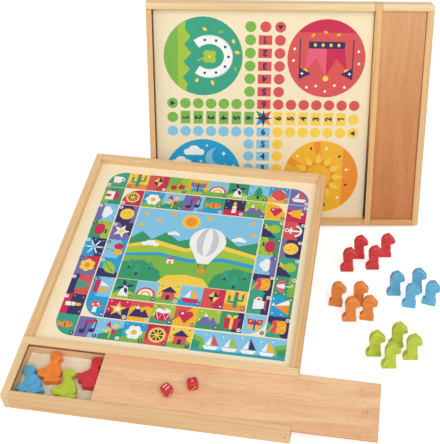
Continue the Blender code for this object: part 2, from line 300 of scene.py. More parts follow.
def veneer_grain(nodes, matrix, body, seed, lines, dashes=0.8):
    """Fine lines and short darker pores along the box's X axis, over the body's colour."""
    shift = (0.31 * seed, 0.17 * seed, 0.4 * seed)
    streaks = nodes.noise(nodes.place(matrix, (0.07, 1.0, 1.0), shift), 330.0, 4.0, 0.62, 0.15)
    pores = nodes.noise(nodes.place(matrix, (0.13, 1.0, 1.0), shift), 820.0, 2.0, 0.5)
    streak_tone = nodes.ramp(streaks, (0.36, (0.90, 0.83, 0.76)), (0.56, UNCHANGED))
    pore_tone = nodes.ramp(pores, (0.58, UNCHANGED), (0.70, (0.84, 0.72, 0.62)))
    nodes.paint(nodes.multiply(dashes, nodes.multiply(lines, body, streak_tone), pore_tone))
    nodes.bump(streaks, 0.10, 0.0002)
    nodes.set(Roughness=0.46, Specular_IOR_Level=0.35)


def veneer(name, colour, dark, matrix, seed, lines=0.6):
    """Peach-coloured veneer: long faint flames, fine lines and small pores."""
    nodes = Nodes(name)
    shift = (0.23 * seed, 0.11 * seed, 0.3 * seed)
    figure = nodes.noise(nodes.place(matrix, (0.14, 1.0, 1.0), shift), 46.0, 3.0, 0.55, 0.9)
    body = nodes.ramp(figure, (0.36, linear(dark)), (0.62, linear(colour)))
    veneer_grain(nodes, matrix, body, seed, lines)
    return nodes.owner


def graded_tone(nodes, matrix, axis, reach, stops):
    """Colours that follow each other along one of the box's axes, from 0 to the reach."""
    split = nodes.add("SeparateXYZ")
    nodes.join(nodes.place(matrix), split.inputs["Vector"])
    share = nodes.spread(split.outputs[axis], From_Max=reach * MM)
    return nodes.ramp(share, *((place, linear(colour)) for place, colour in stops))


def plank_wood(name, stops, matrix, seed):
    """Darker veneer, whose colour deepens along the box's X axis through the colours given."""
    nodes = Nodes(name)
    along = graded_tone(nodes, matrix, "X", BOX_WIDTH, stops)
    shift = (0.2 * seed, 0.1 * seed, 0.5)
    figure = nodes.noise(nodes.place(matrix, (0.10, 1.0, 1.0), shift), 60.0, 3.0, 0.55, 0.7)
    tone = nodes.ramp(figure, (0.34, (0.88, 0.82, 0.76)), (0.60, UNCHANGED))
    veneer_grain(nodes, matrix, nodes.multiply(0.75, along, tone), seed, 0.5, 0.6)
    return nodes.owner


def shaded_wood(name, matrix, axis, reach, stops):
    """Bare wood in the shade of a gap."""
    nodes = Nodes(name)
    nodes.paint(graded_tone(nodes, matrix, axis, reach, stops))
    nodes.set(Roughness=0.8, Specular_IOR_Level=0.1)
    return nodes.owner


def fine_mottle(nodes, colour, scale, low):
    """Slight unevenness of a painted or printed surface."""
    base = linear(colour)
    where = nodes.add("TexCoord").outputs["Object"]
    mottle = nodes.noise(where, scale, 3.0, 0.6)
    nodes.paint(nodes.ramp(mottle, (0.3, shade(base, low)), (0.7, base)))
    return where


def painted_wood(name, colour):
    """Satin paint on sawn wood: the grain shows through as faint flecks and a fine bump."""
    nodes = Nodes(name)
    base = linear(colour)
    where = nodes.add("TexCoord").outputs["Object"]
    streaks = nodes.noise(where, 900.0, 3.0, 0.6)
    drift = nodes.noise(where, 150.0, 3.0, 0.6)
    clouds = nodes.ramp(drift, (0.36, shade(base, 0.82)), (0.62, shade(base, 1.04)))
    flecks = nodes.ramp(streaks, (0.36, (0.89, 0.89, 0.89)), (0.54, UNCHANGED))
    nodes.paint(nodes.multiply(0.7, clouds, flecks))
    nodes.bump(streaks, 0.22, 0.00025)
    nodes.set(Roughness=0.52, Specular_IOR_Level=0.4)
    return nodes.owner


def lacquered_print(name, colour, scale=60.0, low=0.96):
    """Ink on the board, or its even ground, under a satin lacquer."""
    nodes = Nodes(name)
    where = fine_mottle(nodes, colour, scale, low)
    nodes.bump(nodes.noise(where, 700.0, 2.0, 0.5), 0.05, 0.0001)
    nodes.set(Roughness=0.42, Specular_IOR_Level=0.35)
    return nodes.owner


def gloss_plastic(name, colour):
    nodes = Nodes(name)
    fine_mottle(nodes, colour, 160.0, 0.92)
    nodes.set(Roughness=0.22, Specular_IOR_Level=0.5)
    return nodes.owner


def filler():
    nodes = Nodes("nail_filler")
    fine_mottle(nodes, (146, 100, 58), 900.0, 0.8)
    nodes.set(Roughness=0.7)
    return nodes.owner


# Printing


class Ink:
    """Collects flat shapes in a face's own plane, in millimetres, and makes one piece of them.

    A shape's layer says how far it lies above the face, so that later ink covers earlier ink.
    Within a layer, shapes that follow each other differ a little in height, as they may overlap."""

    def __init__(self):
        self.points = []
        self.faces = []
        self.colours = []
        self.at(0, 0)

    def at(self, x, y, scale=1.0, turn=0.0, lift=0):
        """Following shapes are drawn about this spot, scaled and turned (in degrees)."""
        self.scale = scale
        self.lift = lift
        across, up = around(scale, turn)
        self.spot = Matrix(((across, -up, x), (up, across, y), (0, 0, 1)))
        return self

    def shape(self, points, colour, layer):
        first = len(self.points)
        placed = [self.spot @ Vector((x, y, 1)) for x, y in points]
        area = sum(a.x * b.y - b.x * a.y for a, b in zip(placed, placed[1:] + placed[:1]))
        if area < 0:
            placed.reverse()
        height = (layer + self.lift + len(self.faces) % 8 / 10) * INK_STEP
        self.points += [(point.x, point.y, height) for point in placed]
        self.faces.append(list(range(first, len(self.points))))
        self.colours.append(colour)
        return self

    def disc(self, x, y, radius, colour, layer, squash=1.0, start=0, end=360):
        """A full disc, or the part of it between two angles."""
        small = self.scale < 1 and radius < 20
        steps = max(6, round((end - start) / (15 if small else 9)))
        full = end - start == 360
        arc = []
        for step in range(steps + (not full)):
            px, py = around(radius, start + (end - start) * step / steps)
            arc.append((x + px, y + squash * py))
        return self.shape(arc, colour, layer)

    def discs(self, spots, colour, layer, squash=1.0):
        for x, y, radius in spots:
            self.disc(x, y, radius, colour, layer, squash)
        return self

    def box(self, x_low, y_low, x_high, y_high, colour, layer):
        return self.shape(corners_of(x_low, y_low, x_high, y_high), colour, layer)

    def star(self, x, y, outer, inner, count, colour, layer, turn=90):
        points = []
        for step in range(2 * count):
            px, py = around(inner if step % 2 else outer, turn + 180 * step / count)
            points.append((x + px, y + py))
        return self.shape(points, colour, layer)

    def line(self, points, width, colour, layer):
        """A bent stripe of even width."""
        left, right = [], []
        for index, (x, y) in enumerate(points):
            before = Vector(points[max(index - 1, 0)])
            after = Vector(points[min(index + 1, len(points) - 1)])
            way = (after - before).normalized() * width / 2
            left.append((x - way.y, y + way.x))
            right.append((x + way.y, y - way.x))
        for a, b, c, d in zip(left, left[1:], right[1:], right):
            self.shape([a, b, c, d], colour, layer)
        return self

    def leaf(self, x, y, length, width, turn, colour, layer):
        """A leaf with two pointed ends, about its middle."""
        edge = [(-0.5, 0), (-0.25, 0.38), (0.05, 0.5), (0.5, 0), (0.05, -0.5), (-0.25, -0.38)]
        outline = [(length * along, width * across) for along, across in edge]
        return self.shape(turned_about(outline, x, y, turn), colour, layer)

    def digits(self, text, x, y, height, colour, layer, turn):
        """Plain figures, centred on their spot and drawn from a text's outline."""
        outline, faces = figure_shape(text)
        moved = turned_about([(height * px, height * py) for px, py in outline], x, y, turn)
        first = len(self.faces)
        for face in faces:
            self.shape([moved[corner] for corner in face], colour, layer)
        level = self.points[self.faces[first][0]][2]
        for face in self.faces[first:]:
            for corner in face:
                self.points[corner] = (*self.points[corner][:2], level)

    def piece(self, name, matrix, body, finish):
        """The collected ink as one object on the face that the matrix gives."""
        mesh = bpy.data.meshes.new(name)
        placed = [(matrix @ Vector(point)) * MM for point in self.points]
        mesh.from_pydata(placed, [], self.faces)
        used = sorted(set(self.colours))
        for colour in used:
            mesh.materials.append(finish(colour))
        for polygon, colour in zip(mesh.polygons, self.colours):
            polygon.material_index = used.index(colour)
        mesh.update()
        made = new_object(name, mesh)
        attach(made, body)


def corners_of(x_low, y_low, x_high, y_high):
    return [(x_low, y_low), (x_high, y_low), (x_high, y_high), (x_low, y_high)]


def turned_about(points, x, y, turn):
    """The points turned by so many degrees and moved to the spot."""
    across, up = around(1, turn)
    return [(x + px * across - py * up, y + px * up + py * across) for px, py in points]


# A one with a flag, as two faces, because the outline font's one is a bare stroke
ONE_STEM = [(0.0, -0.5), (0.19, -0.5), (0.19, 0.5), (0.0, 0.5)]
ONE_FLAG = [(0.0, 0.5), (0.0, 0.28), (-0.22, 0.12), (-0.22, 0.33)]
FIGURES = {"1": (ONE_STEM + ONE_FLAG, [(0, 1, 2, 3), (4, 5, 6, 7)])}


def figure_shape(text):
    """Points and faces of a figure one unit high, centred on the origin."""
    if text not in FIGURES:
        curve = bpy.data.curves.new("figure", "FONT")
        curve.body = text
        curve.resolution_u = 3
        curve.offset = 0.045
        holder = new_object("figure", curve)
        mesh = holder.to_mesh()
        mesh.calc_loop_triangles()
        points = [vert.co.xy.copy() for vert in mesh.vertices]
        triangles = [tuple(triangle.vertices) for triangle in mesh.loop_triangles]
        holder.to_mesh_clear()
        bpy.data.objects.remove(holder)
        bpy.data.curves.remove(curve)
        low = Vector((min(p.x for p in points), min(p.y for p in points)))
        high = Vector((max(p.x for p in points), max(p.y for p in points)))
        middle, tall = (low + high) / 2, high.y - low.y
        FIGURES[text] = ([tuple((p - middle) / tall) for p in points], triangles)
    return FIGURES[text]


PRINT_FINISHES = {}


def ink_finish(colour):
    if colour not in PRINT_FINISHES:
        PRINT_FINISHES[colour] = lacquered_print("ink_" + colour, COLOURS[colour])
    return PRINT_FINISHES[colour]


# The cross and circle game

CROSS_CENTRE = (147.6, 149.0)
CROSS_TURN = radians(-0.7)
CROSS_SHIFT = 0.4
LANE = 18.8
FIRST_STEP = 18.8
STEP_UP = 16.85
STEP_ACROSS = 16.5
SPOT_RADIUS = 6.9
HOME_WIDTH = 17.2
HOME_HEIGHT = 12.3
YARD_OFFSET = (78.4, 80.6)
YARD_RADIUS = 50.0
YARD_STRETCH = 1.018
HOME_FIGURE = 8.8


def cross_arm(ink, turn, left, own):
    """One arm, drawn upwards from the centre and turned to its side. Its left lane has the
    left neighbour's colour, and its right lane starts with a triangle at the outer end."""
    x, y = CROSS_CENTRE
    ink.at(x, y, 1.0, turn)
    for step in range(7):
        reach = FIRST_STEP + step * (STEP_UP if turn in (0, 180) else STEP_ACROSS)
        low, high = reach - HOME_HEIGHT / 2, reach + HOME_HEIGHT / 2
        ink.disc(-LANE, reach, SPOT_RADIUS, left, 1)
        if step > 0:
            ink.disc(LANE, reach, SPOT_RADIUS, own, 1)
        if step < 6:
            ink.box(-HOME_WIDTH / 2, low, HOME_WIDTH / 2, high, own, 1)
            ink.digits(str(6 - step), 0, reach, HOME_FIGURE, "navy", 2, 180)
            continue
        ink.disc(0, reach, SPOT_RADIUS, own, 1)
        ink.shape([(LANE - 3.7, reach + 2.7), (LANE + 3.7, reach + 2.7), (LANE, reach - 3.6)], "navy", 2)


def cross_star(ink):
    x, y = CROSS_CENTRE
    for turn, colour in ((135, "green"), (45, "coral"), (-45, "orange"), (-135, "blue")):
        ink.at(x, y, 1.0, turn)
        ink.shape([(14.2, 0), (3.2, 4.4), (1.2, 0), (3.2, -4.4)], colour, 1)
    ink.at(x, y).star(0, 0, 11.4, 3.3, 4, "navy", 2)


def yard_ground(ink, x, y, turn, colour):
    """A yard's round ground, a little taller than wide, with what follows turned to its side."""
    ink.at(x, y).disc(0, 0, YARD_RADIUS, colour, 1, YARD_STRETCH)
    ink.at(x, y, 1.0, turn)


def horseshoe_yard(ink, x, y):
    """Green: a horseshoe about a clover, before a wavy hedge, with leaves in the wind."""
    yard_ground(ink, x, y, 0, "teal")
    rim = [around(YARD_RADIUS, angle) for angle in range(116, 245, 8)]
    waves = [(-20, -36), (-26, -27), (-17, -17), (-25, -7), (-15, 4), (-24, 15), (-16, 25), (-23, 35)]
    ink.shape(rim + waves, "lime", 2)
    ink.disc(0, 0, YARD_RADIUS, "leaf", 3, start=130, end=230)
    ink.at(x, y, 1.0, -90)

    def bow_spots(reach, step):
        angles = [radians(angle) for angle in range(-reach, reach + 1, step)]
        return [(22 * sin(angle), 8 + 24 * cos(angle)) for angle in angles]

    bow = bow_spots(134, 8)
    ink.line(bow, 11.5, "white", 4)
    ink.line([(1.22 * px, 1.22 * (py - 8) + 8) for px, py in bow[4:-4]], 1.0, "grey", 5)
    for px, py in bow_spots(105, 35):
        ink.box(px - 1.5, py - 1.5, px + 1.5, py + 1.5, "navy", 5)
    for turn in (45, 135, 225, 315):
        px, py = around(5.2, turn)
        ink.disc(px, 8 + py, 4.6, "lime", 4)
    ink.line([(0, 8), (2, -1), (6, -7)], 1.8, "lime", 4).disc(0, 8, 2.0, "yellow", 5)
    leaves = [
        (-35, 2, 60), (34, 12, 20), (-32, 22, 100), (31, -8, 140),
        (-6, 43, 80), (16, 41, 30), (-20, 38, 10),
    ]
    for number, (px, py, turn) in enumerate(leaves):
        ink.leaf(px, py, 7.0 + number % 3, 4.6, turn, "leaf" if number % 3 == 2 else "yellow", 4)


def crown_yard(ink, x, y):
    """Red: a crown between two pennants, with round sparks about them."""
    yard_ground(ink, x, y, 180, "coral")
    ink.disc(0, 0, YARD_RADIUS, "crimson", 2, start=222, end=318)
    ink.shape([(-22, -20), (22, -20), (27, 15), (13, 0), (0, 23), (-13, 0), (-27, 15)], "crimson", 3)
    ink.shape([(0, -20), (22, -20), (27, 15), (13, 0), (0, 23)], "pink", 4)
    ink.box(-23, -22, 23, -13, "navy", 5)
    for px in (-15, -5, 5, 15):
        ink.leaf(px, -17.5, 5.2, 4.4, 90, "yellow", 6)
    ink.discs([(-27, 17, 3.6), (0, 26, 3.6), (27, 17, 3.6)], "yellow", 5)
    for side in (-1, 1):
        ink.line([(34 * side, -25), (34 * side, 27)], 1.3, "navy", 5)
        ink.shape([(34 * side, 27), (34 * side, 12), (19 * side, 20)], "navy", 6)
        ink.star(30.6 * side, 19.6, 2.6, 1.0, 4, "white", 7)
    sparks = [(-42, 6), (42, 3), (-12, 35), (12, 36), (-41, -10), (41, -12), (-25, 37), (0, 43), (24, 38)]
    ink.discs([(*spark, 1.7) for spark in sparks], "white", 4)
    for px, py, turn in ((-14, -31, 20), (2, -34, 160), (18, -30, 40)):
        ink.leaf(px, py, 7, 3.4, turn, "amber", 4)


def cloud_yard(ink, x, y):
    """Blue: clouds, a moon and stars over long waves."""
    yard_ground(ink, x, y, 0, "blue")
    ink.disc(0, 0, YARD_RADIUS, "sky", 2, start=205, end=335)
    ink.disc(18, 24, 15, "sky", 2)
    ink.disc(24, 28, 12.5, "blue", 3)
    clouds = [(-20, 33, 5.5), (-12, 36, 7.5), (-4, 33, 5.5), (-37, 18, 5), (-29, 21, 7), (-21, 18, 5.5)]
    ink.discs(clouds, "white", 4, 0.8)
    ink.box(-24, 29, 0, 32.5, "white", 4).box(-41, 14.3, -17, 17.5, "white", 4)
    for px, py, size in ((27, 31, 3.4), (5, 42, 2.2), (-3, 20, 2.6), (40, 14, 2.4), (3, 8, 1.8)):
        ink.star(px, py, size, size * 0.4, 4, "white", 4)
    for low, colour in ((-6, "white"), (-14, "sky"), (-22, "white")):
        wave = [(9 * step - 36, low + 4 * (step % 2)) for step in range(9)]
        ink.line(wave, 3.0, colour, 4)


def sun_yard(ink, x, y):
    """Yellow: a sun with pointed rays, before wide orange ones."""
    yard_ground(ink, x, y, 90, "amber")
    ink.disc(0, 0, YARD_RADIUS, "orange", 2, start=215, end=325)
    for turn in (8, 62, 118, 172):
        wedge = [(0, 0), (49.5, -5), (49.5, 5)]
        ink.shape(turned_about(wedge, 0, 0, turn), "orange", 2)
    ink.star(0, 4, 35, 21, 12, "yellow", 3)
    ink.star(0, 4, 25, 18, 12, "orange", 4, 105)
    ink.disc(0, 4, 17, "amber", 5)
    ink.disc(0, 4, 12.5, "yellow", 6)
    ink.disc(0, 4, 12.5, "amber", 7, start=-80, end=60)
    for turn in range(0, 360, 30):
        px, py = 41.5 * cos(radians(turn + 15)), 4 + 39.5 * sin(radians(turn + 15))
        if py < 40:
            ink.leaf(px, py, 5.4, 3.2, turn + 15, "white" if turn % 60 else "navy", 4)


def cross_print(box, matrix):
    ink = Ink()
    colours = ("coral", "leaf", "sky", "yellow")
    for turn, left, own in zip((0, 90, 180, 270), colours[1:] + colours[:1], colours):
        cross_arm(ink, turn, left, own)
    cross_star(ink)
    x, y = CROSS_CENTRE
    right, up = YARD_OFFSET
    horseshoe_yard(ink, x - right, y + up)
    crown_yard(ink, x + right, y + up)
    cloud_yard(ink, x - right, y - up)
    sun_yard(ink, x + right, y - up)
    face = cross_face_matrix(matrix)
    ink.piece(box + "_box_cross_print", face, "root", ink_finish)


# The race game

TRACK_LEFT = 24.0
TRACK_RIGHT = 283.0
TRACK_LOW = 86.5
TRACK_HIGH = 338.5
TRACK_COLUMNS = 10
TRACK_ROWS = 9
CELL_WIDTH = (TRACK_RIGHT - TRACK_LEFT) / TRACK_COLUMNS
CELL_HEIGHT = (TRACK_HIGH - TRACK_LOW) / TRACK_ROWS
RING_LINE = 0.7
SPARK_RADIUS = 0.8
NUMBER_PLACE = (9.7, -10.0)
NUMBER_RADIUS = 2.4
NUMBER_FIGURE = 2.3

# Millimetres to a unit of the small pictures, on whole squares and on rounded ones
PICTURE_SCALE = 0.295
ROUNDED_SCALE = 0.26


def last_cell(ring):
    return TRACK_COLUMNS - 1 - ring, TRACK_ROWS - 1 - ring


def race_path():
    """The track's cells in order, as (column, row, ring). It starts past the strip at the
    lower right and turns clockwise into the middle."""
    path = [(column, 0, 0) for column in range(5, -1, -1)]
    for ring in (0, 1):
        last_column, last_row = last_cell(ring)
        path += [(ring, row, ring) for row in range(ring + 1, last_row + 1)]
        path += [(column, last_row, ring) for column in range(ring + 1, last_column + 1)]
        path += [(last_column, row, ring) for row in range(last_row - 1, ring, -1)]
        path += [(column, ring + 1, ring + 1) for column in range(last_column - 1, ring, -1)]
    return path


def cell_corners(column, row, ring):
    """A cell's box, drawn back from the lines between the rings."""
    last_column, last_row = last_cell(ring)
    outer = ring < 2
    west_line = column == ring or (outer and column == last_column)
    east_line = column == last_column or (outer and column == ring)
    south_line = row == ring or (outer and row == last_row)
    north_line = row == last_row or (outer and row == ring and column != ring)
    west = TRACK_LEFT + CELL_WIDTH * column + RING_LINE * west_line
    east = TRACK_LEFT + CELL_WIDTH * (column + 1) - RING_LINE * east_line
    south = TRACK_LOW + CELL_HEIGHT * row + RING_LINE * south_line
    north = TRACK_LOW + CELL_HEIGHT * (row + 1) - RING_LINE * north_line
    return west, south, east, north


def cell_outline(column, row, ring):
    """The cell's box, with the corner rounded where the track turns."""
    west, south, east, north = cell_corners(column, row, ring)
    turns = corners_of(ring, ring, *last_cell(ring))
    outline = []
    for index, (x, y) in enumerate(corners_of(west, south, east, north)):
        if ring == 2 or turns[index] != (column, row):
            outline.append((x, y))
            continue
        reach = 0.86 * min(east - west, north - south)
        centre_x = x + reach * (1 if index in (0, 3) else -1)
        centre_y = y + reach * (1 if index in (0, 1) else -1)
        for step in range(9):
            px, py = around(reach, 180 + 90 * index + 90 * step / 8)
            outline.append((centre_x + px, centre_y + py))
    return outline


# Small pictures for the squares, some 70 units wide about their middle, on layer 2 and up


def draw_star(ink, main, other):
    ink.star(0, 0, 36, 15, 5, main, 2).star(0, 0, 17, 8, 5, other, 3)


def draw_house(ink, main, other):
    ink.box(-24, -30, 24, 8, main, 2).shape([(-33, 6), (33, 6), (0, 34)], other, 3)
    ink.box(-7, -30, 7, -8, other, 3)


def draw_tree(ink, main, other):
    ink.box(-5, -34, 5, 0, other, 2)
    for y, size in ((-16, 27), (0, 22), (15, 16)):
        ink.shape([(-size, y), (size, y), (0, y + 24)], main, 3)


def draw_fish(ink, main, other):
    ink.disc(4, 0, 27, main, 2, 0.6).shape([(-17, 0), (-36, 17), (-36, -17)], main, 2)
    ink.disc(17, 5, 3.5, other, 3).line([(0, 12), (-4, 0), (0, -12)], 4, other, 3)


def draw_heart(ink, main, other):
    ink.disc(-12.5, 10, 15.5, main, 2).disc(12.5, 10, 15.5, main, 3)
    ink.shape([(-26.8, 4), (26.8, 4), (0, -31)], main, 4)
    ink.disc(-14, 13, 5, other, 5)


def draw_cloud(ink, main, other):
    ink.discs([(-18, -2, 14), (0, 6, 19), (19, -2, 13)], main, 2).box(-20, -16, 20, -2, main, 3)
    for x in (-16, 0, 16):
        ink.line([(x, -20), (x - 4, -32)], 4, other, 3)


def draw_moon(ink, main, other):
    ink.disc(0, 0, 30, main, 2).discs([(-8, 8, 7), (11, 2, 4.5), (-3, -14, 5.5)], other, 3)


def draw_flower(ink, main, other):
    for angle in range(0, 360, 60):
        ink.disc(*around(19, angle), 12.5, main, 2)
    ink.disc(0, 0, 11, other, 3)


def draw_mushroom(ink, main, other):
    ink.box(-9, -32, 9, 0, other, 2).disc(0, -3, 30, main, 3, start=0, end=180)
    ink.discs([(-12, 8, 5), (8, 13, 5.5), (17, 3, 3.5)], other, 4)


def draw_apple(ink, main, other):
    ink.disc(-9, -4, 21, main, 2).disc(9, -4, 21, main, 2)
    ink.line([(0, 12), (3, 31)], 4.5, other, 3).disc(13, 25, 9, other, 3, 0.5)


def draw_kite(ink, main, other):
    ink.shape([(0, 36), (22, 8), (0, -20), (-22, 8)], main, 2)
    ink.shape([(0, 36), (22, 8), (0, 8)], other, 3).shape([(-22, 8), (0, 8), (0, -20)], other, 3)
    ink.line([(0, -20), (6, -28), (-2, -36)], 3, other, 3)


def draw_wheel(ink, main, other):
    ink.disc(0, 0, 33, main, 2).disc(0, 0, 24, other, 3)
    for angle in range(0, 180, 45):
        x, y = around(26, angle)
        ink.line([(-x, -y), (x, y)], 4.5, main, 4)
    ink.disc(0, 0, 7, main, 5)


def draw_bell(ink, main, other):
    ink.disc(0, -22, 7, other, 2).disc(0, 8, 19, main, 3)
    ink.shape([(-19, 8), (19, 8), (28, -20), (-28, -20)], main, 3).disc(0, 29, 5, other, 3)


def draw_umbrella(ink, main, other):
    ink.line([(0, 30), (0, -24), (5, -31), (12, -28)], 4, other, 2)
    ink.disc(0, 0, 32, main, 3, start=0, end=180).disc(0, 0, 11, other, 4, 2.8, 0, 180)


def draw_leaf(ink, main, other):
    leaf = [(-30, -26), (-28, 2), (-10, 22), (30, 30), (24, -6), (4, -24)]
    ink.shape(leaf, main, 2).line([(-34, -32), (20, 20)], 4, other, 3)


def draw_mountains(ink, main, other):
    ink.shape([(-40, -26), (16, -26), (-12, 28)], main, 2)
    ink.shape([(-8, -26), (40, -26), (17, 12)], main, 2)
    ink.shape([(-20.5, 10), (-3.5, 10), (-12, 28)], other, 3)


def draw_cup(ink, main, other):
    ink.disc(20, 2, 13, main, 2).disc(20, 2, 7, other, 3)
    ink.shape([(-26, 20), (20, 20), (14, -22), (-20, -22)], main, 4)
    ink.box(-28, -30, 24, -25, other, 3)


def draw_ball(ink, main, other):
    ink.disc(0, 0, 32, main, 2).disc(0, 0, 32, other, 3, start=20, end=80)
    ink.disc(0, 0, 32, other, 3, start=200, end=260)


def draw_candle(ink, main, other):
    ink.box(-9, -30, 9, 8, main, 2).disc(0, 20, 7.5, other, 3, 1.7)
    ink.line([(-9, -10), (9, -2)], 5, other, 3)


def draw_pinwheel(ink, main, other):
    ink.line([(0, 0), (0, -38)], 4.5, other, 2)
    for turn in range(4):
        blade = turned_about([(0, 0), (32, 0), (20, 20)], 0, 6, 90 * turn + 20)
        ink.shape(blade, main if turn % 2 else other, 3)


def draw_cherries(ink, main, other):
    ink.line([(-14, -10), (2, 28), (17, -2)], 3.5, other, 2)
    ink.disc(-15, -15, 14.5, main, 3).disc(18, -9, 14.5, main, 3)


def draw_rainbow(ink, main, other):
    for step, colour in enumerate((main, "white", other, "white")):
        ink.disc(0, -20, 38 - 8.5 * step, colour, 2 + step, start=0, end=180)


def draw_gift(ink, main, other):
    ink.box(-27, -32, 27, 8, main, 2).box(-32, 4, 32, 16, main, 3)
    ink.box(-6, -32, 6, 16, other, 4)
    ink.leaf(-12, 24, 26, 15, 145, other, 4).leaf(12, 24, 26, 15, 35, other, 4)


def draw_tent(ink, main, other):
    ink.shape([(-38, -30), (38, -30), (0, 26)], main, 2)
    ink.shape([(8, -30), (38, -30), (0, 26)], other, 3)
    ink.shape([(0, 24), (0, 38), (15, 31)], other, 4)


def draw_drum(ink, main, other):
    ink.disc(0, -20, 29, main, 2, 0.4).box(-29, -20, 29, 14, main, 3)
    ink.line([(-28, 10), (-14, -24), (0, 6), (14, -24), (28, 10)], 3.5, other, 4)
    ink.disc(0, 15, 29, other, 5, 0.4).line([(-30, 38), (6, 18)], 4.5, main, 6)


def draw_butterfly(ink, main, other):
    for side in (-1, 1):
        ink.leaf(19 * side, 13, 42, 30, 90 - 48 * side, main, 2)
        ink.leaf(15 * side, -15, 32, 24, 90 + 50 * side, other, 2)
        ink.disc(20 * side, 15, 5.5, other, 3)
    ink.line([(0, -28), (0, 26)], 6, "navy", 4)


def draw_flake(ink, main, other):
    for turn in (30, 90, 150):
        px, py = around(34, turn)
        ink.line([(-px, -py), (px, py)], 6, main, 2)
        ink.disc(px, py, 5.5, other, 3).disc(-px, -py, 5.5, other, 3)
    ink.disc(0, 0, 11, other, 3)


def draw_boat(ink, main, other):
    ink.shape([(-36, -12), (36, -12), (24, -32), (-24, -32)], main, 2)
    ink.shape([(3, -8), (3, 38), (32, -8)], other, 2)
    ink.shape([(-3, -8), (-3, 30), (-26, -8)], "white", 2)


def draw_cactus(ink, main, other):
    ink.box(-8, -32, 8, 28, main, 3).disc(0, 28, 8, main, 3)
    ink.line([(-26, 18), (-26, -6), (0, -6)], 11, main, 2)
    ink.line([(26, 26), (26, 4), (0, 4)], 11, main, 2)
    ink.discs([(0, 36, 7), (-26, 20, 5), (26, 28, 5)], other, 4)


def draw_windmill(ink, main, other):
    ink.shape([(-20, -34), (20, -34), (11, 12), (-11, 12)], main, 2)
    for turn in (20, 110, 200, 290):
        px, py = around(19, turn)
        ink.leaf(px, 10 + py, 36, 14, turn, other, 3)
    ink.disc(0, 10, 5, main, 4)


def draw_anchor(ink, main, other):
    ink.line([(0, 22), (0, -28)], 9, main, 2).line([(-16, 12), (16, 12)], 8, main, 3)
    arc = [around(28, angle) for angle in range(190, 351, 20)]
    ink.line([(x, y - 2) for x, y in arc], 9, main, 3).disc(0, 28, 10, main, 3).disc(0, 28, 4.5, other, 4)


def draw_note(ink, main, other):
    ink.disc(-20, -20, 12, main, 2, 0.8).disc(16, -13, 12, main, 2, 0.8)
    ink.line([(-10.5, -20), (-10.5, 26)], 5, main, 3).line([(25.5, -13), (25.5, 33)], 5, main, 3)
    ink.line([(-13, 24), (28, 31)], 10, other, 4)


def draw_pear(ink, main, other):
    ink.disc(0, -10, 23, main, 2).disc(0, 10, 14, main, 3)
    ink.line([(0, 20), (3, 36)], 4.5, other, 4).leaf(13, 28, 22, 11, 20, other, 4)


def draw_balloons(ink, main, other):
    ink.line([(-14, 0), (0, -36)], 3, other, 2).line([(16, 4), (0, -36)], 3, main, 2)
    ink.disc(-15, 12, 16, main, 3, 1.2).disc(16, 16, 15, other, 4, 1.2)


# A square's second tone: an outline, as shares of its half width and half height
GROUNDS = {
    "hill": [(-1, -1), (1, -1), (1, -0.42), (0.6, -0.2), (0.1, -0.1), (-0.5, -0.28), (-1, -0.6)],
    "band": [(-1, -1), (1, -1), (1, -0.32), (-1, -0.32)],
    "slope": [(-1, -1), (1, -1), (1, 0.3), (-1, -0.55)],
    "side": [(0.1, -1), (1, -1), (1, 1), (0.5, 1)],
    "fold": [(-1, 1), (-1, -0.5), (0.5, 1)],
    "sea": [(-1, -1), (1, -1), (1, -0.3), (0.6, -0.5), (0.2, -0.3), (-0.2, -0.5), (-0.6, -0.3), (-1, -0.5)],
    "sky": [(-1, 1), (1, 1), (1, 0.45), (0.5, 0.6), (-0.1, 0.35), (-0.6, 0.55), (-1, 0.3)],
}
SPARKS = [(-0.72, 0.74), (0.68, 0.8), (-0.78, -0.1)]

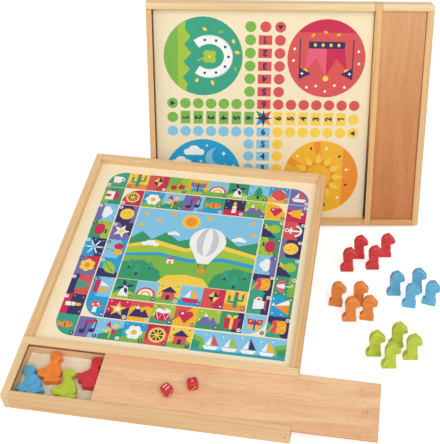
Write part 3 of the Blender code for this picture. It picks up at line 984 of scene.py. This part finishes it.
# Each picture: what it shows, the square's ground, its second tone and shape, and two colours
PICTURES = [
    (draw_house, "yellow", "leaf", "hill", "coral", "navy"),
    (draw_star, "purple", "navy", "fold", "white", "yellow"),
    (draw_apple, "lime", "green", "slope", "crimson", "navy"),
    (draw_kite, "coral", "crimson", "side", "yellow", "navy"),
    (draw_tree, "sky", "leaf", "hill", "green", "navy"),
    (draw_moon, "navy", "purple", "sky", "yellow", "amber"),
    (draw_fish, "teal", "blue", "sea", "orange", "navy"),
    (draw_umbrella, "green", "leaf", "band", "pink", "white"),
    (draw_boat, "sky", "blue", "sea", "crimson", "amber"),
    (draw_mushroom, "blue", "teal", "hill", "coral", "white"),
    (draw_flower, "purple", "crimson", "fold", "yellow", "orange"),
    (draw_cup, "teal", "navy", "band", "white", "coral"),
    (draw_mountains, "amber", "coral", "sky", "navy", "white"),
    (draw_bell, "crimson", "purple", "side", "amber", "white"),
    (draw_pinwheel, "sky", "green", "slope", "crimson", "yellow"),
    (draw_heart, "amber", "coral", "fold", "crimson", "white"),
    (draw_leaf, "blue", "navy", "side", "lime", "green"),
    (draw_wheel, "crimson", "coral", "slope", "yellow", "navy"),
    (draw_candle, "navy", "crimson", "band", "white", "amber"),
    (draw_cloud, "sky", "purple", "hill", "white", "blue"),
    (draw_cherries, "lime", "leaf", "fold", "crimson", "navy"),
    (draw_ball, "blue", "amber", "band", "coral", "white"),
    (draw_rainbow, "sky", "leaf", "band", "coral", "amber"),
    (draw_gift, "green", "navy", "side", "crimson", "yellow"),
    (draw_tent, "blue", "green", "hill", "orange", "white"),
    (draw_drum, "lime", "teal", "band", "crimson", "white"),
    (draw_butterfly, "sky", "teal", "slope", "crimson", "amber"),
    (draw_flake, "navy", "blue", "slope", "white", "sky"),
    (draw_cactus, "yellow", "orange", "band", "green", "crimson"),
    (draw_windmill, "green", "lime", "hill", "white", "navy"),
    (draw_anchor, "coral", "navy", "sea", "white", "navy"),
    (draw_note, "purple", "sky", "side", "navy", "crimson"),
    (draw_pear, "teal", "navy", "fold", "lime", "yellow"),
    (draw_balloons, "sky", "blue", "sky", "crimson", "amber"),
    (draw_star, "crimson", "navy", "slope", "amber", "white"),
    (draw_tree, "coral", "navy", "band", "teal", "navy"),
    (draw_house, "green", "leaf", "hill", "white", "crimson"),
    (draw_butterfly, "amber", "lime", "hill", "purple", "blue"),
    (draw_boat, "purple", "navy", "sea", "white", "coral"),
    (draw_flower, "blue", "leaf", "slope", "white", "amber"),
    (draw_mountains, "lime", "green", "band", "purple", "white"),
    (draw_drum, "navy", "teal", "fold", "amber", "coral"),
]


def picture_order():
    """A picture for each square in turn, so that squares which touch differ in what they show
    and in their ground."""
    chosen, uses = {}, [0] * len(PICTURES)
    for number, (column, row, _) in enumerate(race_path()):
        near = [chosen[spot] for spot in chosen if abs(spot[0] - column) < 2 and abs(spot[1] - row) < 2]
        costs = []
        for index, (draw, ground, *_) in enumerate(PICTURES):
            same_picture = sum(PICTURES[other][0] == draw for other in near)
            same_ground = sum(PICTURES[other][1] == ground for other in near)
            alike = 4 * same_picture + 3 * same_ground
            costs.append((alike + 5 * uses[index], (17 * index + 5 * number) % len(PICTURES), index))
        best = min(costs)[2]
        chosen[column, row] = best
        uses[best] += 1
    return [PICTURES[index] for index in chosen.values()]


def cell_turn(column, row, ring):
    """Pictures in the side columns are turned towards their side."""
    if row in (ring, last_cell(ring)[1]) or ring == 2:
        return 0
    return -90 if column == ring else 90


def cell_ground(ink, cell, turn, ground, second, form, spark):
    """The square's two tones, and small sparks on some. Rounded squares keep one tone."""
    west, south, east, north = cell_corners(*cell)
    outline = cell_outline(*cell)
    ink.at(0, 0).shape(outline, ground, 1)
    ink.at((west + east) / 2, (south + north) / 2, 1.0, turn)
    half_width, half_height = (east - west) / 2, (north - south) / 2
    if turn:
        half_width, half_height = half_height, half_width
    if len(outline) > 4:
        return
    ink.shape([(half_width * x, half_height * y) for x, y in GROUNDS[form]], second, 2)
    if form in ("hill", "sea", "band", "slope"):
        for x, y in SPARKS:
            ink.disc(half_width * x, half_height * y, SPARK_RADIUS, spark, 3)


def race_cells(ink):
    """All squares, each with its picture and its number on a plate beside the picture's foot."""
    for number, (cell, picture) in enumerate(zip(race_path(), picture_order()), 1):
        draw, ground, second, form, main, other = picture
        column, row, _ = cell
        west, south, east, north = cell_corners(*cell)
        middle_x, middle_y = (west + east) / 2, (south + north) / 2
        turn = cell_turn(*cell)
        cell_ground(ink, cell, turn, ground, second, form, other)
        scale = PICTURE_SCALE if len(cell_outline(*cell)) == 4 else ROUNDED_SCALE
        ink.at(middle_x, middle_y, scale, turn, 1)
        draw(ink, main, other)
        side = -1 if (column in (0, 1) and row > 4) or turn == -90 else 1
        place = (NUMBER_PLACE[0] * side, NUMBER_PLACE[1])
        spot_x, spot_y = turned_about([place], middle_x, middle_y, turn)[0]
        pale = "navy" in (ground, second) or number % 4 == 0
        plate, figure = ("white", "navy") if pale else ("navy", "white")
        ink.at(0, 0).disc(spot_x, spot_y, NUMBER_RADIUS, plate, 8)
        ink.digits(str(number), spot_x, spot_y, NUMBER_FIGURE, figure, 9, turn)


# The hills at both ends of the strip: colour, layer, reach, height and the width of the top
HILLS = [("lime", 2, 22, 15, 6), ("leaf", 3, 15, 21, 12), ("green", 4, 8, 15, 9)]


def race_strip(ink):
    """The picture beside the first square: four little boats on a long wave."""
    west = TRACK_LEFT + CELL_WIDTH * 6
    near = west + RING_LINE
    wide = TRACK_RIGHT - near
    low, high = TRACK_LOW, TRACK_LOW + CELL_HEIGHT - 2 * RING_LINE
    ink.at(0, 0).box(near, low, TRACK_RIGHT, high, "sky", 1)
    for colour, layer, reach, tall, half in HILLS:
        for end, way in ((near, 1), (TRACK_RIGHT, -1)):
            hill = [(end, low), (end, low + tall), (end + way * half, low + 0.8 * tall)]
            ink.shape([*hill, (end + way * reach, low)], colour, layer)
    crests = [(near + wide * step / 20, low + (4.6 if step % 2 else 3.4)) for step in range(20, -1, -1)]
    ink.shape([(near, low), (TRACK_RIGHT, low), *crests], "blue", 5)
    ink.box(near, low, TRACK_RIGHT, low + 1.6, "teal", 6)
    stars = ((14, 22), (33, 21), (54, 23), (75, 21), (88, 22))
    ink.discs([(near + x, low + y, 0.9) for x, y in stars], "white", 2)
    for index, colour in enumerate(("coral", "lime", "navy", "amber")):
        ink.at(west + 22 + 20.5 * index, low + 11.0, 0.25)
        ink.shape([(-36, -12), (36, -12), (24, -30), (-24, -30)], "white", 7)
        ink.shape([(2, -8), (2, 50), (34, -8)], colour, 7)
        ink.shape([(-3, -8), (-3, 38), (-26, -8)], "white", 7)


# The large picture, in shares of its width and height: land and water from far to near, the
# sky's small stars, and the clouds and trees with their scale
FAR_HILLS = [
    (0, 0.55), (0.08, 0.66), (0.17, 0.56), (0.27, 0.68), (0.38, 0.57),
    (0.5, 0.63), (0.62, 0.56), (0.74, 0.7), (0.85, 0.58), (1, 0.66),
]
LANDSCAPE = [
    ("green", 2, [(0, 0), *FAR_HILLS, (1, 0)]),
    ("yellow", 3, [(0, 0), (0, 0.46), (0.2, 0.56), (0.45, 0.48), (0.7, 0.58), (1, 0.48), (1, 0)]),
    ("lime", 4, [(0, 0), (0, 0.42), (0.2, 0.50), (0.45, 0.43), (0.7, 0.52), (1, 0.43), (1, 0)]),
    ("blue", 5, [(0, 0), (0, 0.34), (0.25, 0.39), (0.5, 0.34), (0.75, 0.40), (1, 0.35), (1, 0)]),
    ("leaf", 6, [(0, 0), (0, 0.30), (0.25, 0.35), (0.5, 0.29), (0.75, 0.35), (1, 0.30), (1, 0)]),
    ("green", 7, [(0, 0), (0, 0.22), (0.15, 0.27), (0.3, 0.14), (0.34, 0)]),
    ("green", 7, [(1, 0), (1, 0.24), (0.86, 0.28), (0.72, 0.16), (0.68, 0)]),
    ("yellow", 7, [(0.3, 0), (0.36, 0.10), (0.5, 0.13), (0.64, 0.10), (0.7, 0)]),
]
SKY_STARS = [
    (0.07, 0.92), (0.19, 0.83), (0.29, 0.94), (0.58, 0.93),
    (0.93, 0.92), (0.95, 0.76), (0.05, 0.75),
]
CLOUDS = [(0.17, 0.49, 0.34), (0.85, 0.66, 0.28), (0.33, 0.66, 0.24)]
TREES = [
    (0.06, 0.2, 0.20), (0.13, 0.13, 0.24), (0.22, 0.2, 0.17),
    (0.8, 0.18, 0.22), (0.88, 0.1, 0.26), (0.95, 0.2, 0.18),
]


def race_middle(ink):
    """The large picture in the middle: a pale balloon over hills and a lake, under the sun."""
    west = TRACK_LEFT + CELL_WIDTH * 2 + RING_LINE
    east = TRACK_LEFT + CELL_WIDTH * 8 - RING_LINE
    low = TRACK_LOW + CELL_HEIGHT * 3 + RING_LINE
    high = TRACK_LOW + CELL_HEIGHT * 7 - RING_LINE

    def spot(x, y):
        return west + x * (east - west), low + y * (high - low)

    ink.at(0, 0).box(west, low, east, high, "sky", 1)
    for colour, layer, outline in LANDSCAPE:
        ink.shape([spot(x, y) for x, y in outline], colour, layer)
    ink.at(*spot(0.44, 0.86)).star(0, 0, 13, 9.6, 14, "yellow", 2)
    ink.disc(0, 0, 9, "amber", 3).disc(0, 0, 6.2, "orange", 4)
    for x, y in SKY_STARS:
        ink.at(*spot(x, y)).star(0, 0, 4.4, 2.2, 6, "amber", 2)
    balloon(ink, *spot(0.61, 0.55))
    for x, y, size in CLOUDS:
        ink.at(*spot(x, y), size)
        ink.discs([(-20, 0, 13), (0, 6, 18), (20, 0, 12)], "white", 8, 0.7)
    for x, y, size in TREES:
        ink.at(*spot(x, y), size, 0, 6)
        draw_tree(ink, "teal", "navy")
    ink.at(*spot(0.36, 0.3), 0.17, 0, 6)
    draw_house(ink, "white", "coral")


def balloon(ink, x, y):
    ink.at(x, y)
    ink.shape([(-20, -3), (20, -3), (6.5, -28), (-6.5, -28)], "white", 8)
    ink.disc(0, 5, 22, "white", 9)
    ink.disc(0, 5, 13, "grey", 10, 1.66)
    ink.disc(0, 5, 5, "white", 11, 4.3)
    ink.line([(-5, -28), (-3.6, -36)], 0.8, "navy", 8).line([(5, -28), (3.6, -36)], 0.8, "navy", 8)
    ink.box(-4.4, -42, 4.4, -35.5, "orange", 9)


def race_print(box, matrix):
    ink = Ink()
    race_cells(ink)
    race_strip(ink)
    race_middle(ink)
    face = matrix @ Matrix.Translation((0, 0, BOARD_TOP))
    ink.piece(box + "_box_race_print", face, "root", ink_finish)


# Marks on the dice and the front rail, and painted shade in the lids' notches and on the board's rim

PIP_SPOTS = {
    1: [(0, 0)],
    2: [(-1, -1), (1, 1)],
    3: [(-1, -1), (0, 0), (1, 1)],
    4: [(-1, -1), (-1, 1), (1, -1), (1, 1)],
    5: [(-1, -1), (-1, 1), (1, -1), (1, 1), (0, 0)],
    6: [(-1, -1), (0, -1), (1, -1), (-1, 1), (0, 1), (1, 1)],
}
DIE_TOPS = {"die_1": 6, "die_2": 1}
DIE_SIDES = {"front": 3, "right": 2, "back": 4, "left": 5}
PIP_SPACING = 1.85
PIP_RADIUS = 0.8
FACE_TURNS = {
    "top": Matrix.Identity(4),
    "bottom": Matrix.Rotation(pi, 4, "X"),
    "front": Matrix.Rotation(pi / 2, 4, "X"),
    "back": Matrix.Rotation(-pi / 2, 4, "X"),
    "right": Matrix.Rotation(pi / 2, 4, "Y"),
    "left": Matrix.Rotation(-pi / 2, 4, "Y"),
}


def pips(name):
    """All pips of one die, as one piece that rides with it."""
    ink = Ink()
    top = DIE_TOPS[name]
    for face, value in {"top": top, **DIE_SIDES, "bottom": 7 - top}.items():
        side = Ink()
        for x, y in PIP_SPOTS[value]:
            side.disc(PIP_SPACING * x, PIP_SPACING * y, PIP_RADIUS, "pip", 1)
        turned = Matrix.Translation((0, 0, DIE_SIZE / 2)) @ FACE_TURNS[face]
        first = len(ink.points)
        ink.points += [tuple(turned @ Vector((x, y, z + DIE_SIZE / 2))) for x, y, z in side.points]
        ink.faces += [[first + corner for corner in polygon] for polygon in side.faces]
        ink.colours += side.colours
    ink.piece(name + "_pips", die_matrix(name), "front_lid", ink_finish)


def nail_mark():
    """A small filled nail hole in the front rail's outer face, close to its right end."""
    ink = Ink()
    ink.disc(0, 0, 1.2, "nail", 1, 0.7)
    upright = Matrix.Rotation(pi / 2, 4, "X")
    place = front_matrix() @ Matrix.Translation(NAIL_PLACE) @ upright
    ink.piece("front_box_nail_mark", place, "root", lambda name: filler())


def notch_lines(name, matrix, body, shift):
    """Painted shade: two dark lines along the finger notch's long walls."""
    ink = Ink()
    half_width, half_length = 0.35, 4.4
    for middle in (-1.9, 1.9):
        ink.box(middle - half_width, -half_length, middle + half_width, half_length, "groove", 1)
    x, y = NOTCH_PLACE
    place = matrix @ Matrix.Translation((x - LID_OPEN + shift, y, LID_TOP - NOTCH_DEPTH))
    ink.piece(name, place, body, ink_finish)


def board_gap(matrix):
    """A painted shadow: a dark wedge on the board's rim, where the gap between the cross board and the
    crossbar lies in shade.
    """
    ink = Ink()
    end = BOX_DEPTH - CROSSBAR_WALL - GAP
    ink.shape([(end, 200), (end - 0.25, 130), (end - 1.2, 9), (end, 9)], "gap", 1)
    ink.piece("back_box_board_gap", cross_side_matrix(matrix), "root", ink_finish)


# Finishes of the solids

# Each rail's grain, and its colour in the front box and in the back box
RAILS = {
    "left_rail": ("y", (238, 200, 147), (247, 217, 168)),
    "right_rail": ("y", (236, 193, 138), (233, 187, 126)),
    "back_rail": ("x", (243, 207, 159), (235, 192, 140)),
    "crossbar": ("x", (244, 208, 160), (234, 186, 126)),
    "tray_front_rail": ("x", (235, 197, 148), (236, 192, 140)),
    "tray_end_rail": ("y", (238, 204, 156), (250, 220, 176)),
    "tray_sill": ("y", (236, 196, 148), (228, 178, 120)),
}

# The boards' blank cream, in the front box and in the back box
BOARD_CREAMS = [(255, 240, 206), (249, 232, 196)]


def box_finishes(nodes, number, box, matrix, seed):
    """Wood for a box's rails and lid, and the blank of its board."""
    for index, (part, (along, *colours)) in enumerate(RAILS.items()):
        name = f"{box}_{part}"
        wear(nodes[name], solid_wood(name + "_wood", colours[number], matrix, along, seed + index))
    blank = lacquered_print(box + "_board_blank", BOARD_CREAMS[number], 40.0, 0.975)
    wear(nodes[box + "_board"], blank)
    lid = veneer(box + "_lid_wood", (246, 201, 157), (236, 182, 137), matrix, seed + 1)
    wear(nodes[box + "_lid"], lid)


def repaint(node, matrix, material, chosen):
    """A further finish for the faces chosen by their middle and direction in the box's frame."""
    node.data.materials.append(material)
    inward = matrix.inverted()
    turned = inward.to_3x3()
    for polygon in node.data.polygons:
        if chosen(inward @ (polygon.center / MM), turned @ polygon.normal):
            polygon.material_index = len(node.data.materials) - 1


def lid_edges(lid, matrix):
    """The lid's narrow faces and the walls of its finger notch are darker: partly end grain, partly painted
    shade.
    """
    edge = painted_wood(lid.name + "_edge", (206, 146, 100))
    repaint(lid, matrix, edge, lambda spot, facing: abs(facing.z) < 0.5)


def groove_shade(rail, matrix):
    """The groove that the lid runs in is darker, end grain and shade."""
    near = GAP + 0.05

    def inside(spot, facing):
        level = LID_BOTTOM - near < spot.z < LID_TOP + near
        within = LID_LEFT - near < spot.x < BOX_WIDTH - 1 and LID_FRONT - near < spot.y < LID_BACK + near
        return level and within

    repaint(rail, matrix, painted_wood(rail.name + "_groove", (158, 104, 64)), inside)


def gap_shade(rail, matrix):
    """The wall behind the cross board's end darkens into the gap."""

    def inside(spot, facing):
        wall = facing.y < -0.9 and spot.y > BACK_INNER + 0.5
        ledge = facing.z < -0.9 and spot.z > BOARD_BOTTOM
        return (wall or ledge) and spot.z < BOARD_TOP + 0.1

    stops = [(0.0, (186, 140, 88)), (1.0, (84, 58, 30))]
    repaint(rail, matrix, shaded_wood(rail.name + "_gap", matrix, "Z", 3.5, stops), inside)


# Painted light and shade along the crossbar's wall: light at the top, dark at the foot
WALL_LIGHT_AND_SHADE = [
    (0.0, (255, 232, 182)),
    (0.30, (246, 208, 150)),
    (0.42, (226, 182, 120)),
    (0.58, (172, 126, 76)),
    (0.76, (92, 68, 42)),
    (1.0, (50, 38, 24)),
]


def wall_shade(crossbar, matrix):
    """The wall at the cross board's other end gets painted light and shade: lighter than the wood at the
    top, and darkening downward as the gap at its foot widens.
    """
    wall = shaded_wood(crossbar.name + "_wall", matrix, "X", BOX_WIDTH, WALL_LIGHT_AND_SHADE)
    repaint(crossbar, matrix, wall, lambda spot, facing: facing.y > 0.9 and spot.z < BOARD_BOTTOM)


def wear(node, material):
    """Gives a solid its finish, and smooth shading on its rounded edges."""
    node.data.materials.clear()
    node.data.materials.append(material)
    node.data.shade_smooth()
    node.data.set_sharp_from_angle(angle=radians(35))


def worn_edges(horse, material):
    """Paints a lighter highlight along the rounded edges of a piece sawn from flat wood, all round its two
    faces.
    """
    across = max(horse.data.polygons, key=lambda polygon: polygon.area).normal.copy()
    repaint(horse, Matrix.Identity(4), material, lambda spot, facing: 0.2 < abs(facing.dot(across)) < 0.97)


def rubbed(colour):
    """A paint's colour lightened, for a painted highlight."""
    return tuple(round(part + 0.18 * (255 - part)) for part in colour)


GOOSE_PAINTS = {
    "red": (214, 48, 54),
    "orange": (246, 134, 42),
    "blue": (90, 174, 218),
    "green": (188, 206, 54),
}
# The geese's paints made lighter for the horses: painted light, as the horses' upright faces take less
# light than the geese's tops
LIT_HORSE_PAINTS = {
    "red": (232, 64, 68),
    "orange": (255, 150, 68),
    "blue": (108, 190, 230),
    "green": (200, 216, 66),
}


def finishes(nodes):
    front, back = front_matrix(), back_matrix()
    box_finishes(nodes, 0, "front_box", front, 1)
    box_finishes(nodes, 1, "back_box", back, 21)
    lid_edges(nodes["front_box_lid"], front)
    lid_edges(nodes["back_box_lid"], back)
    notch_lines("front_box_notch_lines", front, "front_lid", LID_OPEN)
    notch_lines("back_box_notch_lines", back, "back_lid", 0)
    gap_shade(nodes["back_box_back_rail"], back)
    wall_shade(nodes["back_box_crossbar"], back)
    board_gap(back)
    for part in ("crossbar", "tray_end_rail", "tray_front_rail"):
        groove_shade(nodes["front_box_" + part], front)
        groove_shade(nodes["back_box_" + part], back)
    floor = veneer("front_floor_wood", (240, 230, 207), (230, 214, 187), front, 3, 0.4)
    wear(nodes["front_box_tray_floor"], floor)
    deepening = [(0.0, (228, 174, 124)), (0.5, (214, 148, 94)), (1.0, (206, 132, 80))]
    wear(nodes["back_box_tray_floor"], plank_wood("back_floor_wood", deepening, back, 5))
    for name, colour in GOOSE_PAINTS.items():
        wear(nodes["goose_" + name], painted_wood("goose_" + name + "_paint", colour))
    for name, colour in LIT_HORSE_PAINTS.items():
        paint = painted_wood("horse_" + name + "_paint", colour)
        # Lighter paint along the horses' edges: a painted highlight
        highlight = painted_wood("horse_" + name + "_edge_highlight_paint", rubbed(colour))
        for number in range(1, 5):
            horse = nodes[f"horse_{name}_{number}"]
            wear(horse, paint)
            worn_edges(horse, highlight)
    plastic = gloss_plastic("die_red", (206, 30, 44))
    for name in DICE:
        wear(nodes[name], plastic)


# Stage, lights and camera

FLOOR_GLOW = 0.5
FLOOR_REACH = 4.0
FLOOR_DROP = 0.0002
WORLD_LEVEL = 0.44

# Each lamp's place and size in metres, and its power
LAMPS = {"key": ((0.9, -2.0, 2.0), 2.2, 48.0), "fill": ((-1.6, -1.1, 1.3), 1.4, 6.0)}
LAMP_AIM = Vector((0.0, 0.0, 0.1))


def stage():
    """A white floor, which the camera sees lighter than it is, so that only the deeper parts
    of the shadows show."""
    mesh = bpy.data.meshes.new("floor")
    corners = corners_of(-FLOOR_REACH, -FLOOR_REACH, FLOOR_REACH, FLOOR_REACH)
    mesh.from_pydata([(x, y, 0) for x, y in corners], [], [(0, 1, 2, 3)])
    floor = new_object("floor", mesh)
    floor.location.z = -FLOOR_DROP
    nodes = Nodes("floor_white")
    nodes.set(Base_Color=(0.90, 0.90, 0.90, 1.0), Roughness=1.0, Specular_IOR_Level=0.0)
    nodes.set(Emission_Color=(1.0, 1.0, 1.0, 1.0))
    glow = nodes.spread(nodes.add("LightPath").outputs["Is Camera Ray"], To_Max=FLOOR_GLOW)
    nodes.join(glow, nodes.shader.inputs["Emission Strength"])
    mesh.materials.append(nodes.owner)


def world():
    """Even white light, with a white background for the camera and in what shines."""
    made = bpy.data.worlds.new("world")
    bpy.context.scene.world = made
    nodes = Nodes("world", made)
    nodes.set(Color=(1.0, 1.0, 1.0, 1.0))
    path = nodes.add("LightPath")
    seen = nodes.add("Math", operation="MAXIMUM")
    nodes.join(path.outputs["Is Camera Ray"], seen.inputs[0])
    nodes.join(path.outputs["Is Glossy Ray"], seen.inputs[1])
    strength = nodes.spread(seen.outputs[0], To_Min=WORLD_LEVEL, To_Max=1.0)
    nodes.join(strength, nodes.shader.inputs["Strength"])


def lamp(name, place, size, power):
    data = bpy.data.lights.new(name, "AREA")
    data.shape = "SQUARE"
    data.size = size
    data.energy = power
    made = new_object(name, data)
    made.location = place
    made.rotation_mode = "QUATERNION"
    made.rotation_quaternion = (LAMP_AIM - Vector(place)).to_track_quat("-Z", "Y")


def camera():
    data = bpy.data.cameras.new("camera")
    data.sensor_width = SENSOR_WIDTH
    data.lens = SENSOR_WIDTH * FOCAL_PIXELS / PICTURE_HEIGHT
    data.shift_x = -OFF_CENTRE[0] / PICTURE_HEIGHT
    data.shift_y = OFF_CENTRE[1] / PICTURE_HEIGHT
    made = new_object("camera", data)
    made.location = (Vector(CAMERA_PLACE) + Vector(TABLE_SHIFT)) * MM
    turned = Matrix.Rotation(CAMERA_YAW, 4, "Z") @ Matrix.Rotation(pi / 2 - CAMERA_PITCH, 4, "X")
    made.rotation_euler = (turned @ Matrix.Rotation(CAMERA_ROLL, 4, "Z")).to_euler()
    bpy.context.scene.camera = made


for leftover in list(bpy.data.objects):
    bpy.data.objects.remove(leftover, do_unlink=True)
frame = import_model()
bpy.context.scene.view_settings.view_transform = "Standard"
camera()
world()
for name, (place, size, power) in LAMPS.items():
    lamp(name, place, size, power)
stage()
finishes(frame["nodes"])
for box, matrix in (("front", front_matrix()), ("back", back_matrix())):
    cross_print(box, matrix)
    race_print(box, matrix)
for die in DICE:
    pips(die)
nail_mark()
